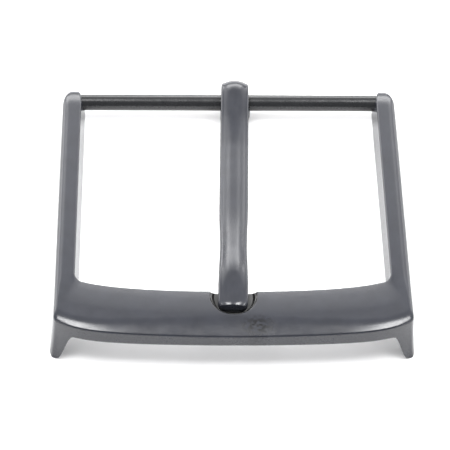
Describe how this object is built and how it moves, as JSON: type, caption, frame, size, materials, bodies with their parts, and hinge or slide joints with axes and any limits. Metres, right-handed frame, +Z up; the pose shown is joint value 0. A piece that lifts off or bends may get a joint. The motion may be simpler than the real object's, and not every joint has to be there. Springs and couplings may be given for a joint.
{
  "type": "belt buckle",
  "caption": "Prong buckle for a wide belt: a cast frame with pointed front cheeks, a round strap bar across its back, and a hinged prong whose tip rests in a scooped seat.",
  "frame": {"origin": "centre of the bounding box, at the level of the table the buckle lies on", "axes": "+X along the strap bar to the buckle's right, -Y from the strap bar towards the front bar where the prong's tip rests, +Z up from the table"},
  "size_m": [0.0474, 0.0442, 0.0087],
  "materials": {
    "frame": "satin black coating with a fine grain",
    "strap_bar": "satin black coating",
    "prong": "satin black coating"
  },
  "bodies": {
    "buckle": {"frame": "frame", "strap_bar": "strap_bar"},
    "prong": {"prong": "prong"}
  },
  "joints": [
    {"name": "prong_hinge", "type": "hinge", "parent": "buckle", "child": "prong", "pos_m": [0, 0.01897, 0.00315], "axis": [-1, 0, 0], "range_deg": [0, 170]}
  ]
}
